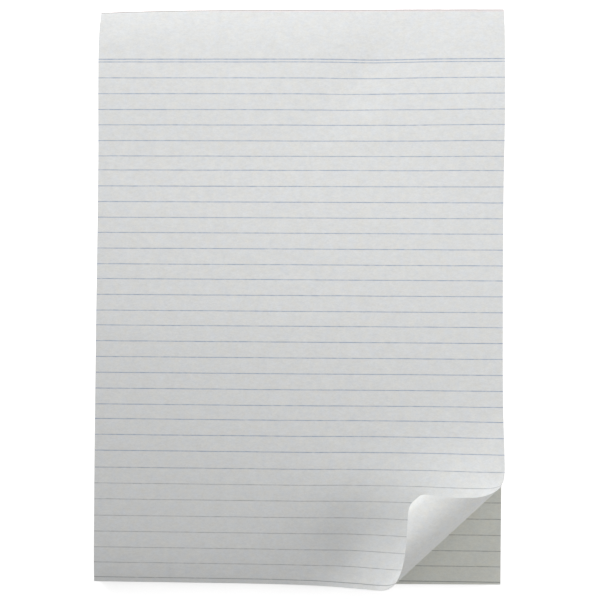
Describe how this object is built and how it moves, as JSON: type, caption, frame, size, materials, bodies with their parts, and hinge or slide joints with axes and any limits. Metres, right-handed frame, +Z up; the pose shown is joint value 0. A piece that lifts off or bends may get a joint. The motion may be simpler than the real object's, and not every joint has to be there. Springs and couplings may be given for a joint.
{
  "type": "legal pad",
  "caption": "Top-glued A4 writing pad of ruled leaves on a chipboard back, its top leaf's lower right corner rolled up and over.",
  "frame": {"origin": "centre of the backing board's underside, on the surface that the pad lies on", "axes": "+Z up out of the written page, +Y towards the glued head, +X to the right as the page is read"},
  "size_m": [0.21, 0.2973, 0.0359],
  "materials": {
    "chipboard": "matte",
    "ruled_paper": "matte",
    "top_paper": "matte",
    "padding_gum": "satin"
  },
  "bodies": {
    "root": {"backing_board": "chipboard", "leaf_block": "ruled_paper", "top_leaf": "top_paper", "head_gum": "padding_gum"}
  },
  "joints": []
}
